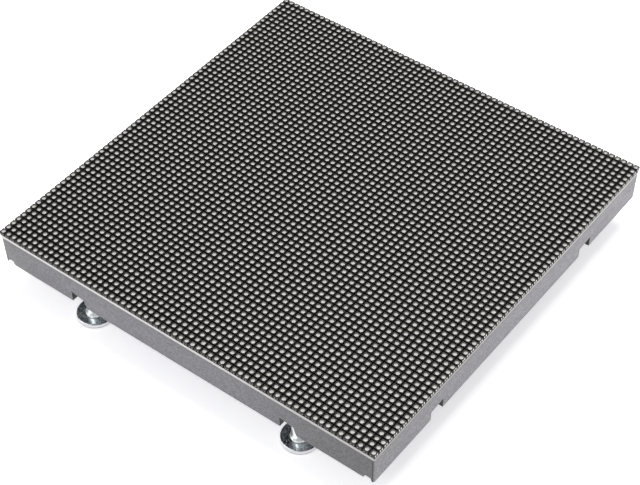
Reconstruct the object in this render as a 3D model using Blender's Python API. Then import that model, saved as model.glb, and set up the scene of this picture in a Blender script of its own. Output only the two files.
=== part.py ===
"""A square RGB LED matrix panel standing face up on four magnetic feet.

Metres, +Z up. The origin is on the floor under the centre of the face.
X runs along the near side, Y runs to the far side, and the LEDs face +Z.
"""

import math

import bmesh
import bpy
import numpy as np

for old in list(bpy.data.objects):
    bpy.data.objects.remove(old, do_unlink=True)

MM = 0.001

# Driving dimensions, in millimetres
PITCH = 2.5  # from one LED to the next
COUNT = 64  # LEDs along each side
LED_SIDE = 2.1  # side of one LED package
LED_SHEET = 0.15  # thickness left under the LED rows
FACE_Z = 25.8  # height of the LED tops above the floor
BOARD_TOP = 24.1
BOARD_THICK = 1.4
BOARD_SIDE = 159.2
FRAME_TOP = 22.65
FRAME_BOTTOM = 11.2
FRAME_HALF_TOP = 79.6  # half the frame's side where it meets the board
FRAME_HALF_BOTTOM = 79.35  # the walls draw in towards the back
CORNER_CUT = 0.5
WALL = 3.0
BAR_X = 27.0  # the two long bars stand at this distance from the middle
BAR_WIDE = 6.0
CROSS_Y = 36.0  # the two short bars between them
BAR_RECESS = 1.0
BOSS_ALONG = 45.0  # bosses along a side, from its middle
BOSS_OUT = 72.5  # bosses from the centre line
BOSS_R = 4.6
INSERT_R = 2.2
INSERT_BORE_R = 1.6
INSERT_LONG = 6.0
# Notch beside each boss, as (distance along the wall from the boss axis, depth).
# One end is upright and deep, the other slants. The deep end is away from the (+X, -Y) corner.
NOTCH_NEAR = [(-2.8, 0.0), (-2.8, 4.5), (2.8, 3.4), (3.65, 0.0)]
NOTCH_SIDE = [(-3.45, 0.0), (-3.45, 4.4), (3.2, 3.85), (3.35, 0.0)]
# Notch at each end of the near and far walls, measured from the frame's corner
CORNER_NOTCH = [(0.75, 0.0), (1.3, 1.45), (3.3, 1.45), (4.0, 0.0)]
CUP_R = 6.8
CUP_TOP = 1.75
CUP_RECESS_R = 5.4
CUP_RECESS_DEEP = 1.1
MAGNET_R = 5.1
MAGNET_BORE_R = 2.4
POST_R = 2.9
STUD_R = 1.45
SCREW_HEAD_R = 2.3
SCREW_R = 1.15
GAP = 0.05  # between pieces that meet

BOARD_BOTTOM = BOARD_TOP - BOARD_THICK
PART_SEAT = BOARD_BOTTOM - GAP  # where parts on the board's back begin


def material(name, colour, rough, metal=0.0):
    made = bpy.data.materials.new(name)
    made.use_nodes = True
    shader = made.node_tree.nodes["Principled BSDF"]
    shader.inputs["Base Color"].default_value = (*colour, 1)
    shader.inputs["Roughness"].default_value = rough
    shader.inputs["Metallic"].default_value = metal
    made.diffuse_color = (*colour, 1)
    return made


def object_from(name, points, faces, colour, rough, metal=0.0, smooth=False):
    """A mesh object from points in millimetres, with normals facing out."""
    mesh = bpy.data.meshes.new(name)
    mesh.from_pydata([tuple(c * MM for c in p) for p in points], [], faces)
    work = bmesh.new()
    work.from_mesh(mesh)
    bmesh.ops.recalc_face_normals(work, faces=work.faces)
    work.to_mesh(mesh)
    work.free()
    mesh.materials.append(material(name, colour, rough, metal))
    made = bpy.data.objects.new(name, mesh)
    bpy.context.scene.collection.objects.link(made)
    if smooth:
        shade(made)
    return made


def shade(made, angle=35):
    for face in made.data.polygons:
        face.use_smooth = True
    made.data.set_sharp_from_angle(angle=math.radians(angle))


def box_points(low, high):
    (a, b, c), (d, e, f) = low, high
    points = [(x, y, z) for z in (c, f) for y in (b, e) for x in (a, d)]
    faces = [(0, 2, 3, 1), (4, 5, 7, 6), (0, 1, 5, 4), (2, 6, 7, 3), (0, 4, 6, 2), (1, 3, 7, 5)]
    return points, faces


def prism_points(outline, low, high, axis=2):
    """Outline in the plane across the axis, carried from low to high along it."""
    n = len(outline)
    points = []
    for along in (low, high):
        for a, b in outline:
            points.append({0: (along, a, b), 1: (a, along, b), 2: (a, b, along)}[axis])
    faces = [tuple(range(n))[::-1], tuple(range(n, 2 * n))]
    faces += [(i, (i + 1) % n, n + (i + 1) % n, n + i) for i in range(n)]
    return points, faces


def lathe_points(profile, centre, steps, closed=True):
    """Profile of (radius, height) turned about +Z. A closed profile makes a ring."""
    points, rings = [], []
    for r, z in profile:
        if r < 1e-6:
            rings.append([len(points)])
            points.append((centre[0], centre[1], z))
        else:
            ring = []
            for k in range(steps):
                a = 2 * math.pi * k / steps
                ring.append(len(points))
                points.append((centre[0] + r * math.cos(a), centre[1] + r * math.sin(a), z))
            rings.append(ring)
    pairs = list(zip(rings, rings[1:]))
    if closed:
        pairs.append((rings[-1], rings[0]))
    faces = []
    for low, high in pairs:
        if len(low) == 1 and len(high) == 1:
            continue
        for k in range(steps):
            j = (k + 1) % steps
            if len(low) == 1:
                faces.append((low[0], high[j], high[k]))
            elif len(high) == 1:
                faces.append((low[k], low[j], high[0]))
            else:
                faces.append((low[k], low[j], high[j], high[k]))
    return points, faces


def joined(pieces):
    """Several closed meshes as one list of points and faces."""
    points, faces = [], []
    for some, made in pieces:
        base = len(points)
        points += some
        faces += [tuple(base + i for i in face) for face in made]
    return points, faces


def shaped(made, *steps):
    """Runs Boolean steps, each (operation, points and faces), and keeps the result as the object's mesh."""
    for number, (operation, shape) in enumerate(steps):
        tool = object_from(f"{made.name}_tool", *shape, (0.5, 0.5, 0.5), 0.5)
        tool.hide_render = True
        tool.display_type = "WIRE"
        change = made.modifiers.new(f"step{number}", "BOOLEAN")
        change.operation = operation
        change.solver = "EXACT"
        change.use_self = True
        change.object = tool
        bpy.context.view_layer.update()
        graph = bpy.context.evaluated_depsgraph_get()
        result = bpy.data.meshes.new_from_object(made.evaluated_get(graph))
        made.modifiers.clear()
        kept = made.data.materials[0]
        old = made.data
        made.data = result
        result.materials.clear()
        result.materials.append(kept)
        bpy.data.meshes.remove(old)
        paint = tool.data.materials[0]
        bpy.data.objects.remove(tool, do_unlink=True)
        bpy.data.materials.remove(paint)
    made.data.name = made.name
    return made


def less(shape, taken):
    """One shape with another cut away, as points in millimetres and faces."""
    made = object_from("cutter", *shape, (0.5, 0.5, 0.5), 0.5)
    shaped(made, ("DIFFERENCE", taken))
    points = [tuple(c / MM for c in v.co) for v in made.data.vertices]
    faces = [tuple(face.vertices) for face in made.data.polygons]
    paint = made.data.materials[0]
    bpy.data.objects.remove(made, do_unlink=True)
    bpy.data.materials.remove(paint)
    return points, faces


# LED field: one row of packages beside the next, on a thin common sheet
half = COUNT * PITCH / 2
side = half - (PITCH - LED_SIDE) / 2
sheet_top = BOARD_TOP + GAP + LED_SHEET
comb = [(-side, BOARD_TOP + GAP)]
for row in range(COUNT):
    middle = -half + (row + 0.5) * PITCH
    near, far = middle - LED_SIDE / 2, middle + LED_SIDE / 2
    if row:
        comb.append((near, sheet_top))
    comb.append((near, FACE_Z))
    comb.append((far, FACE_Z))
    if row < COUNT - 1:
        comb.append((far, sheet_top))
comb.append((side, BOARD_TOP + GAP))
points, faces = prism_points(comb, -side, side, axis=0)
object_from("led_field", points, faces, (0.03, 0.03, 0.032), 0.5)

# Circuit board
b = BOARD_SIDE / 2
object_from("board", *box_points((-b, -b, BOARD_BOTTOM), (b, b, BOARD_TOP)), (0.72, 0.71, 0.66), 0.55)


# Back frame
def corner_cut(h):
    c = CORNER_CUT
    return [(-h + c, -h), (h - c, -h), (h, -h + c), (h, h - c), (h - c, h), (-h + c, h), (-h, h - c), (-h, -h + c)]


low, high = corner_cut(FRAME_HALF_BOTTOM), corner_cut(FRAME_HALF_TOP)
points = [(x, y, FRAME_BOTTOM) for x, y in low] + [(x, y, FRAME_TOP) for x, y in high]
faces = [tuple(range(8))[::-1], tuple(range(8, 16))] + [(i, (i + 1) % 8, 8 + (i + 1) % 8, 8 + i) for i in range(8)]
frame = object_from("back_frame", points, faces, (0.30, 0.30, 0.32), 0.5)

inner = FRAME_HALF_BOTTOM - WALL
under, over = FRAME_BOTTOM - 2, FRAME_TOP + 2
bar_low, bar_high = BAR_X - BAR_WIDE / 2, BAR_X + BAR_WIDE / 2
cross_low, cross_high = CROSS_Y - BAR_WIDE / 2, CROSS_Y + BAR_WIDE / 2
windows = joined(
    [
        box_points((-inner, -inner, under), (-bar_high, inner, over)),
        box_points((bar_high, -inner, under), (inner, inner, over)),
        box_points((-bar_low, -inner, under), (bar_low, -cross_high, over)),
        box_points((-bar_low, -cross_low, under), (bar_low, cross_low, over)),
        box_points((-bar_low, cross_high, under), (bar_low, inner, over)),
    ]
)
# The bars stand back a little from the frame's lowest edge
recess = joined(
    [
        box_points(
            (sign * BAR_X - BAR_WIDE / 2 - 0.5, -inner + 8.5, under),
            (sign * BAR_X + BAR_WIDE / 2 + 0.5, inner - 8.5, FRAME_BOTTOM + BAR_RECESS),
        )
        for sign in (-1, 1)
    ]
    + [
        box_points(
            (-bar_low - 0.2, sign * CROSS_Y - BAR_WIDE / 2 - 0.5, under),
            (bar_low + 0.2, sign * CROSS_Y + BAR_WIDE / 2 + 0.5, FRAME_BOTTOM + BAR_RECESS),
        )
        for sign in (-1, 1)
    ]
)
bosses = [(sx * BOSS_ALONG, sy * BOSS_OUT) for sx in (-1, 1) for sy in (-1, 1)]
side_bosses = [(sx * BOSS_OUT, sy * BOSS_ALONG) for sx in (-1, 1) for sy in (-1, 1)]
screws = [(sx * BAR_X, y) for sx in (-1, 1) for y in (-BOSS_OUT, 0.0, BOSS_OUT)]
# Round posts that the window and recess cutters leave standing
boss_posts = joined(
    [
        lathe_points([(0, under - 3), (BOSS_R, under - 3), (BOSS_R, over + 3), (0, over + 3)], at, 24, False)
        for at in bosses + side_bosses + screws
    ]
)
insert_holes = joined(
    [
        lathe_points(
            [(0, FRAME_BOTTOM - 1), (INSERT_R + GAP, FRAME_BOTTOM - 1), (INSERT_R + GAP, FRAME_BOTTOM + INSERT_LONG + 1.2), (0, FRAME_BOTTOM + INSERT_LONG + 1.2)],
            at,
            18,
            False,
        )
        for at in bosses + side_bosses
    ]
    + [
        lathe_points(
            [
                (0, FRAME_BOTTOM - 1),
                (SCREW_HEAD_R + 0.35, FRAME_BOTTOM - 1),
                (SCREW_HEAD_R + 0.35, FRAME_BOTTOM + 4.0),
                (SCREW_R + GAP, FRAME_BOTTOM + 4.0),
                (SCREW_R + GAP, FRAME_TOP + 1),
                (0, FRAME_TOP + 1),
            ],
            at,
            16,
            False,
        )
        for at in screws
    ]
)


def turned(points, quarter):
    """Points turned about +Z by a number of quarter turns."""
    for _ in range(quarter % 4):
        points = [(-y, x, z) for x, y, z in points]
    return points


def notch_outline(shape, origin, sign):
    """Section of a notch cutter: the shape, carried on 1 mm below the frame's lowest edge."""
    (a, _), (b, deep), (c, deep_2), (d, _) = shape
    low_a, low_d = a - (b - a) / deep, d + (d - c) / deep_2
    steps = [(low_a, -1.0), (b, deep), (c, deep_2), (low_d, -1.0)]
    return [(origin + sign * along, FRAME_BOTTOM + up) for along, up in steps]


notches = []
wall_out, wall_in = FRAME_HALF_TOP + 2, FRAME_HALF_BOTTOM - WALL - 0.01
# Quarter turns put the near wall's cutters on the right, far and left walls.
# The sign turns each notch's deep end away from the (+X, -Y) corner, and the other way on the walls behind.
for quarter, shape, sign in ((0, NOTCH_NEAR, 1), (1, NOTCH_SIDE, -1), (2, NOTCH_NEAR, -1), (3, NOTCH_SIDE, 1)):
    for along in (-BOSS_ALONG, BOSS_ALONG):
        points, faces = prism_points(notch_outline(shape, along, sign), -wall_out, -wall_in - 0.2, axis=1)
        notches.append((turned(points, quarter), faces))
    if quarter % 2:
        continue
    for end in (-1, 1):
        outline = notch_outline(CORNER_NOTCH, end * FRAME_HALF_BOTTOM, -end)
        points, faces = prism_points(outline, -wall_out, -(FRAME_HALF_BOTTOM - 1.4), axis=1)
        notches.append((turned(points, quarter), faces))
shaped(
    frame,
    ("DIFFERENCE", less(windows, boss_posts)),
    ("DIFFERENCE", less(recess, boss_posts)),
    ("DIFFERENCE", insert_holes),
    ("DIFFERENCE", joined(notches)),
)
shade(frame, 30)

# Brass inserts in the bosses
for number, at in enumerate(bosses + side_bosses, 1):
    profile = [
        (INSERT_BORE_R, FRAME_BOTTOM + 0.1),
        (INSERT_R, FRAME_BOTTOM + 0.1),
        (INSERT_R, FRAME_BOTTOM + INSERT_LONG),
        (INSERT_BORE_R, FRAME_BOTTOM + INSERT_LONG),
    ]
    object_from(f"insert_{number}", *lathe_points(profile, at, 18), (0.72, 0.55, 0.25), 0.3, 1.0, True)

# Magnetic feet: steel cup, ring magnet, and a post whose stud screws into an insert
for number, at in enumerate(bosses, 1):
    cup = [
        (CUP_R - 0.15, 0),
        (CUP_R, 0.15),
        (CUP_R - 0.03, 0.8),
        (CUP_R - 0.16, 1.3),
        (CUP_R - 0.45, 1.62),
        (CUP_R - 0.85, CUP_TOP),
        (1.7, CUP_TOP),
        (1.7, CUP_RECESS_DEEP),
        (CUP_RECESS_R, CUP_RECESS_DEEP),
        (CUP_RECESS_R, 0),
    ]
    object_from(f"foot_cup_{number}", *lathe_points(cup, at, 32), (0.78, 0.79, 0.80), 0.15, 1.0, True)
    ring = [(MAGNET_BORE_R, 0.15), (MAGNET_R, 0.15), (MAGNET_R, 1.0), (MAGNET_BORE_R, 1.0)]
    object_from(f"foot_magnet_{number}", *lathe_points(ring, at, 24), (0.35, 0.35, 0.36), 0.35, 1.0, True)
    post = [
        (0, 0.5),
        (1.6, 0.5),
        (1.6, CUP_TOP + GAP),
        (POST_R + 0.6, CUP_TOP + GAP),
        (POST_R + 0.4, CUP_TOP + 0.6),
        (POST_R + 0.12, CUP_TOP + 1.4),
        (POST_R, CUP_TOP + 2.4),
        (POST_R, FRAME_BOTTOM - 0.45),
        (POST_R - 0.3, FRAME_BOTTOM - GAP),
        (STUD_R, FRAME_BOTTOM - GAP),
        (STUD_R, FRAME_BOTTOM + 4.6),
        (STUD_R - 0.4, FRAME_BOTTOM + 5.0),
        (0, FRAME_BOTTOM + 5.0),
    ]
    object_from(f"foot_post_{number}", *lathe_points(post, at, 20, False), (0.80, 0.80, 0.80), 0.18, 1.0, True)

# Self-tapping screws in counterbores of the long bars
for number, at in enumerate(screws, 1):
    seat = FRAME_BOTTOM + 4.0 - GAP
    screw = [
        (0, seat - 1.1),
        (0.75, seat - 1.1),
        (0.85, seat - 1.75),
        (1.6, seat - 1.6),
        (SCREW_HEAD_R, seat - 0.9),
        (SCREW_HEAD_R, seat),
        (SCREW_R, seat),
        (SCREW_R, FRAME_TOP - 0.6),
        (0, FRAME_TOP - 0.1),
    ]
    object_from(f"screw_{number}", *lathe_points(screw, at, 14, False), (0.6, 0.6, 0.6), 0.3, 1.0, True)


# Shrouded 2 x 8 headers, mouth down
def header(name, x, key):
    long, wide, tall, wall = 28.4, 9.0, 9.0, 1.25
    low = PART_SEAT - tall
    made = object_from(name, *box_points((x - wide / 2, -long / 2, low), (x + wide / 2, long / 2, PART_SEAT)), (0.02, 0.02, 0.02), 0.45)
    mouth = box_points((x - wide / 2 + wall, -long / 2 + wall, low - 1), (x + wide / 2 - wall, long / 2 - wall, PART_SEAT - 2.4))
    outer = key * wide / 2
    slot = box_points(
        (x + min(outer + key, outer - key * (wall + 0.4)), -2.2, low - 1),
        (x + max(outer + key, outer - key * (wall + 0.4)), 2.2, PART_SEAT - 4.6),
    )
    pins = joined(
        [
            box_points(
                (x + side * 1.27 - 0.32, (k - 3.5) * 2.54 - 0.32, low + 2.2),
                (x + side * 1.27 + 0.32, (k - 3.5) * 2.54 + 0.32, PART_SEAT - 1.2),
            )
            for side in (-1, 1)
            for k in range(8)
        ]
    )
    return shaped(made, ("DIFFERENCE", mouth), ("DIFFERENCE", slot), ("UNION", pins))


header("header_in", -57.0, 1)
header("header_out", 57.0, -1)

# Four-pin power header with a latch wall
low = PART_SEAT - 9.5
power = object_from("power_header", *box_points((-8.0, -4.2, PART_SEAT - 3.2), (8.0, 4.2, PART_SEAT)), (0.85, 0.84, 0.78), 0.5)
shaped(
    power,
    ("UNION", box_points((-7.0, 3.0, low + 0.6), (7.0, 4.2, PART_SEAT - 1.0))),
    (
        "UNION",
        joined(
            [
                box_points(((k - 1.5) * 3.96 - 0.57, -0.57, low), ((k - 1.5) * 3.96 + 0.57, 0.57, PART_SEAT - 1.0))
                for k in range(4)
            ]
        ),
    ),
)

# Electrolytic capacitors on square bases
for number, at in enumerate(((-15.0, -15.0), (15.0, -15.0)), 1):
    base = PART_SEAT - 1.3
    can = lathe_points(
        [(0, base - 8.6), (3.5, base - 8.6), (4.0, base - 8.1), (4.0, base + 0.3), (0, base + 0.3)], at, 28, False
    )
    made = object_from(
        f"capacitor_{number}", *box_points((at[0] - 4.25, at[1] - 4.25, base), (at[0] + 4.25, at[1] + 4.25, PART_SEAT)), (0.72, 0.72, 0.73), 0.3, 0.6
    )
    shaped(made, ("UNION", can))
    shade(made, 40)


# Chips: a moulded body over two rows of leads, drawn as one section
def chip(name, x, y, long, body, leads, tall, along_y=True):
    z = PART_SEAT
    section = [
        (-leads / 2, z),
        (leads / 2, z),
        (leads / 2, z - 0.18),
        (body / 2 + 0.35, z - 0.28),
        (body / 2 + 0.15, z - tall * 0.5),
        (body / 2, z - tall * 0.5),
        (body / 2 - 0.15, z - tall),
        (-body / 2 + 0.15, z - tall),
        (-body / 2, z - tall * 0.5),
        (-body / 2 - 0.15, z - tall * 0.5),
        (-body / 2 - 0.35, z - 0.28),
        (-leads / 2, z - 0.18),
    ]
    if along_y:
        points, faces = prism_points([(x + a, h) for a, h in section], y - long / 2, y + long / 2, axis=1)
    else:
        points, faces = prism_points([(y + a, h) for a, h in section], x - long / 2, x + long / 2, axis=0)
    return object_from(name, points, faces, (0.03, 0.03, 0.03), 0.5)


columns = [s * c for s in (-1, 1) for c in (36.5, 46.0, 55.5, 65.0)] + [-16.5, -5.5, 5.5, 16.5]
number = 0
for row in (-54.0, 54.0):
    for column in sorted(columns):
        number += 1
        chip(f"driver_{number:02d}", column, row, 8.65, 3.9, 6.0, 1.6)
chip("buffer_1", -42.0, -9.0, 12.8, 7.5, 10.3, 2.4)
chip("buffer_2", -42.0, 9.0, 12.8, 7.5, 10.3, 2.4)
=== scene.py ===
"""Looks of a square RGB LED matrix panel that lies face up on four magnetic feet.

Every length is in millimetres until it goes into a mesh. The origin is on the floor
under the centre of the face, X runs along the near side and Z points out of the LEDs.
"""

import math

import bmesh
import bpy
import numpy as np
from mathutils import Matrix, Vector


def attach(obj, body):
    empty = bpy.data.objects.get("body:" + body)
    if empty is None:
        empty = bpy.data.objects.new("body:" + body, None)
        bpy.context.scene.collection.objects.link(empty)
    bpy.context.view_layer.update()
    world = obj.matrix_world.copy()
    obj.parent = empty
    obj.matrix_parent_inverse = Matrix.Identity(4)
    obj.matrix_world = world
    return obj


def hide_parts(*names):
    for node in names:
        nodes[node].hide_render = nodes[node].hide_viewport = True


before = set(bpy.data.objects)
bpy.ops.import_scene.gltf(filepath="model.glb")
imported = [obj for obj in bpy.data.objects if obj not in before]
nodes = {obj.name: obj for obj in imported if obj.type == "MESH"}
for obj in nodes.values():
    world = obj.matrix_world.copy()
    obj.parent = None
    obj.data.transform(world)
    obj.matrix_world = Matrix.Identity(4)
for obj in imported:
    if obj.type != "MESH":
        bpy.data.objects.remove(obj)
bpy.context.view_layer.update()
MM = 0.001

PITCH = 2.5
COUNT = 64
FACE_Z = 25.8
BOARD_TOP = 24.1
BOARD_BOTTOM = 22.7
SEAT = 22.65
FRAME_BOTTOM = 11.2
BOSSES = [(sx * 45.0, sy * 72.5) for sx in (-1, 1) for sy in (-1, 1)]
SIDE_BOSSES = [(sx * 72.5, sy * 45.0) for sx in (-1, 1) for sy in (-1, 1)]
SCREWS = [(sx * 27.0, y) for sx in (-1, 1) for y in (-72.5, 0.0, 72.5)]
BAKE_MAP = "OFBake"


# ---------------------------------------------------------------- materials


class Paint:
    """A Principled material, built up from noise, ramps and bump."""

    def __init__(self, name, colour=(0.5, 0.5, 0.5), rough=0.5, metal=0.0, **values):
        self.made = bpy.data.materials.new(name)
        self.made.use_nodes = True
        self.tree = self.made.node_tree
        self.shader = self.tree.nodes["Principled BSDF"]
        self.set("Base Color", (*colour, 1))
        self.set("Roughness", rough)
        self.set("Metallic", metal)
        for key, value in values.items():
            self.set(key.replace("_", " "), value)
        self.made.diffuse_color = (*colour, 1)
        self.where = None

    def set(self, socket, value):
        self.shader.inputs[socket].default_value = value

    def node(self, kind, inputs=(), **settings):
        made = self.tree.nodes.new(kind)
        for key, value in settings.items():
            setattr(made, key, value)
        for key, value in dict(inputs).items():
            socket = made.inputs[key]
            if isinstance(value, bpy.types.NodeSocket):
                self.tree.links.new(value, socket)
            else:
                socket.default_value = value
        return made

    def link(self, output, name):
        self.tree.links.new(output, self.shader.inputs[name])

    def place(self, scale=(1, 1, 1)):
        """Object coordinates in millimetres, stretched by scale."""
        coordinates = self.node("ShaderNodeTexCoord")
        return self.node(
            "ShaderNodeVectorMath",
            {0: coordinates.outputs["Object"], 1: tuple(1000 * s for s in scale)},
            operation="MULTIPLY",
        ).outputs[0]

    def noise(self, size, detail=2.0, stretch=(1, 1, 1), rough=0.55):
        """Noise whose features are about size millimetres across."""
        place = self.place(tuple(s / size for s in stretch))
        return self.node(
            "ShaderNodeTexNoise", {"Vector": place, "Scale": 1.0, "Detail": detail, "Roughness": rough}
        ).outputs["Fac"]

    def maths(self, operation, a, b=0.0, clamp=False):
        return self.node("ShaderNodeMath", {0: a, 1: b}, operation=operation, use_clamp=clamp).outputs[0]

    def ramp(self, value, low, high, to_low=0.0, to_high=1.0, smooth=True):
        made = self.node(
            "ShaderNodeMapRange",
            {"Value": value, "From Min": low, "From Max": high, "To Min": to_low, "To Max": to_high},
            interpolation_type="SMOOTHSTEP" if smooth else "LINEAR",
        )
        return made.outputs["Result"]

    def mix(self, share, a, b):
        made = self.node("ShaderNodeMix", data_type="RGBA")
        for socket, value in ((made.inputs["Factor"], share), (made.inputs[6], a), (made.inputs[7], b)):
            if isinstance(value, bpy.types.NodeSocket):
                self.tree.links.new(value, socket)
            elif isinstance(value, tuple):
                socket.default_value = (*value, 1) if len(value) == 3 else value
            else:
                socket.default_value = value
        return made.outputs[2]

    def bump(self, height, distance, strength=1.0):
        made = self.node(
            "ShaderNodeBump", {"Height": height, "Distance": distance * MM, "Strength": strength}
        )
        self.link(made.outputs["Normal"], "Normal")

    def uv(self, name):
        return self.node("ShaderNodeUVMap", uv_map=name).outputs[0]

    def parts(self, vector):
        made = self.node("ShaderNodeSeparateXYZ", {0: vector})
        return made.outputs[0], made.outputs[1], made.outputs[2]


def plastic(name, colour, rough, mottle=0.12, grain=0.35, depth=0.012, spread=0.08, patch=9.0, **values):
    """Moulded plastic: a fine texture, slight clouding and uneven gloss."""
    p = Paint(name, colour, rough, **values)
    cloud = p.noise(patch, 3)
    fine = p.noise(grain, 2)
    low = tuple(c * (1 - mottle) for c in colour)
    high = tuple(min(1, c * (1 + mottle)) for c in colour)
    both = p.maths("ADD", p.maths("MULTIPLY", cloud, 0.65), p.maths("MULTIPLY", fine, 0.35))
    p.link(p.mix(p.ramp(both, 0.3, 0.7), low, high), "Base Color")
    p.link(p.ramp(p.maths("ADD", fine, p.maths("MULTIPLY", cloud, 0.5)), 0.4, 1.1, rough - spread, rough + spread), "Roughness")
    p.bump(fine, depth)
    return p


def metal(name, colour, rough, scratch=(1, 1, 1), size=0.8, spread=0.08, tint=0.08, depth=0.003, **values):
    """Plated or bare metal with faint scuffs and uneven polish."""
    p = Paint(name, colour, rough, 1.0, **values)
    scuffs = p.noise(size, 4, scratch, 0.7)
    cloud = p.noise(5.0, 2)
    low = tuple(c * (1 - tint) for c in colour)
    high = tuple(min(1, c * (1 + tint)) for c in colour)
    p.link(p.mix(p.ramp(cloud, 0.3, 0.7), low, high), "Base Color")
    p.link(p.ramp(scuffs, 0.3, 0.75, max(0.02, rough - spread), rough + spread), "Roughness")
    p.bump(scuffs, depth)
    return p


# ------------------------------------------------------------------ meshes


def shown(name, mesh, materials, smooth=None, replaces=()):
    """Links a mesh as a piece of the object."""
    for m in materials:
        mesh.materials.append(m.made if isinstance(m, Paint) else m)
    made = bpy.data.objects.new(name, mesh)
    bpy.context.scene.collection.objects.link(made)
    if smooth is not None:
        mesh.shade_smooth()
        mesh.set_sharp_from_angle(angle=math.radians(smooth))
    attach(made, "root")
    if replaces:
        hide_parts(*replaces)
    return made


class Shape:
    """Points, faces, a material number per face and a place on the bake map per corner."""

    def __init__(self):
        self.points, self.faces, self.slots, self.smooth, self.uvs = [], [], [], [], []

    def point(self, x, y, z):
        self.points.append((x, y, z))
        return len(self.points) - 1

    def face(self, corners, slot=0, uvs=None, smooth=False):
        self.faces.append(tuple(corners))
        self.slots.append(slot)
        self.smooth.append(smooth)
        self.uvs.append(uvs or [(0.5, 0.5)] * len(corners))

    def box(self, low, high, slot=0, region=(0.0, 0.0, 1.0, 1.0), taper=0.0):
        """A box, whose low end in Z may be drawn in by taper."""
        (a, b, c), (d, e, f) = low, high
        t = taper
        base = [
            self.point(x + t * sx, y + t * sy, z)
            for z, t in ((c, taper), (f, 0.0))
            for y, sy in ((b, 1), (e, -1))
            for x, sx in ((a, 1), (d, -1))
        ]
        u0, v0, u1, v1 = region
        sides = [(0, 2, 3, 1), (4, 5, 7, 6), (0, 1, 5, 4), (2, 6, 7, 3), (0, 4, 6, 2), (1, 3, 7, 5)]
        for number, side in enumerate(sides):
            u, v = u0 + (u1 - u0) * (number % 3) / 3, v0 + (v1 - v0) * (number // 3) / 2
            w, h = (u1 - u0) / 3.2, (v1 - v0) / 2.2
            self.face([base[i] for i in side], slot, [(u, v), (u + w, v), (u + w, v + h), (u, v + h)])

    def prism(self, outline, low, high, axis=2, slot=0, smooth=False):
        """An outline carried from low to high along an axis."""
        n = len(outline)
        ids = []
        for along in (low, high):
            for a, b in outline:
                ids.append(self.point(*{0: (along, a, b), 1: (a, along, b), 2: (a, b, along)}[axis]))
        self.face(ids[:n][::-1], slot)
        self.face(ids[n:], slot)
        for i in range(n):
            j = (i + 1) % n
            self.face((ids[i], ids[j], ids[n + j], ids[n + i]), slot, None, smooth)

    def lathe(self, profile, centre, steps, slot=0, closed=True, slots=None):
        """A profile of (radius, height) turned about +Z. slots may give a material for each stretch."""
        rings = []
        for r, z in profile:
            if r < 1e-6:
                rings.append([self.point(centre[0], centre[1], z)])
            else:
                rings.append(
                    [
                        self.point(
                            centre[0] + r * math.cos(2 * math.pi * k / steps),
                            centre[1] + r * math.sin(2 * math.pi * k / steps),
                            z,
                        )
                        for k in range(steps)
                    ]
                )
        pairs = list(zip(rings, rings[1:]))
        if closed:
            pairs.append((rings[-1], rings[0]))
        for number, (low, high) in enumerate(pairs):
            if len(low) == 1 and len(high) == 1:
                continue
            which = slots[number] if slots else slot
            for k in range(steps):
                j = (k + 1) % steps
                if len(low) == 1:
                    self.face((low[0], high[j], high[k]), which)
                elif len(high) == 1:
                    self.face((low[k], low[j], high[0]), which)
                else:
                    self.face((low[k], low[j], high[j], high[k]), which)

    def mesh(self, name, tidy=True):
        made = bpy.data.meshes.new(name)
        made.from_pydata([tuple(c * MM for c in p) for p in self.points], [], self.faces)
        for face, slot in zip(made.polygons, self.slots):
            face.material_index = slot
        if tidy:
            work = bmesh.new()
            work.from_mesh(made)
            bmesh.ops.recalc_face_normals(work, faces=work.faces)
            work.to_mesh(made)
            work.free()
        return made


def tiled(name, sets):
    """One mesh from copies of shapes. sets holds (shape, places, slot changes per place)."""
    points, corners, starts, slots, smooth, uvs = [], [], [], [], [], []
    base, loops = 0, 0
    for shape, places, swaps in sets:
        p = np.array(shape.points)
        at = np.array(places)
        flat = np.concatenate([np.array(f) for f in shape.faces])
        counts = np.array([len(f) for f in shape.faces])
        start = np.concatenate([[0], np.cumsum(counts)[:-1]])
        n = len(at)
        points.append((p[None] + at[:, None]).reshape(-1, 3))
        corners.append((flat[None] + base + len(p) * np.arange(n)[:, None]).ravel())
        starts.append((start[None] + loops + len(flat) * np.arange(n)[:, None]).ravel())
        which = np.tile(np.array(shape.slots), (n, 1))
        if swaps is not None:
            for old in set(shape.slots):
                which = np.where(which == old, np.array([s.get(old, old) for s in swaps])[:, None], which)
        slots.append(which.ravel())
        smooth.append(np.tile(np.array(shape.smooth), n))
        uvs.append(np.tile(np.array([uv for f in shape.uvs for uv in f]), (n, 1)))
        base += len(p) * n
        loops += len(flat) * n
    mesh = bpy.data.meshes.new(name)
    points = np.concatenate(points) * MM
    corners, starts = np.concatenate(corners), np.concatenate(starts)
    mesh.vertices.add(len(points))
    mesh.vertices.foreach_set("co", points.astype(np.float32).ravel())
    mesh.loops.add(len(corners))
    mesh.loops.foreach_set("vertex_index", corners.astype(np.int32))
    mesh.polygons.add(len(starts))
    mesh.polygons.foreach_set("loop_start", starts.astype(np.int32))
    mesh.polygons.foreach_set("material_index", np.concatenate(slots).astype(np.int32))
    mesh.polygons.foreach_set("use_smooth", np.concatenate(smooth))
    mesh.update(calc_edges=True)
    layer = mesh.uv_layers.new(name=BAKE_MAP, do_init=False)
    layer.uv.foreach_set("vector", np.concatenate(uvs).astype(np.float32).ravel())
    mesh.validate()
    return mesh


# -------------------------------------------------------------------- LEDs

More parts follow.
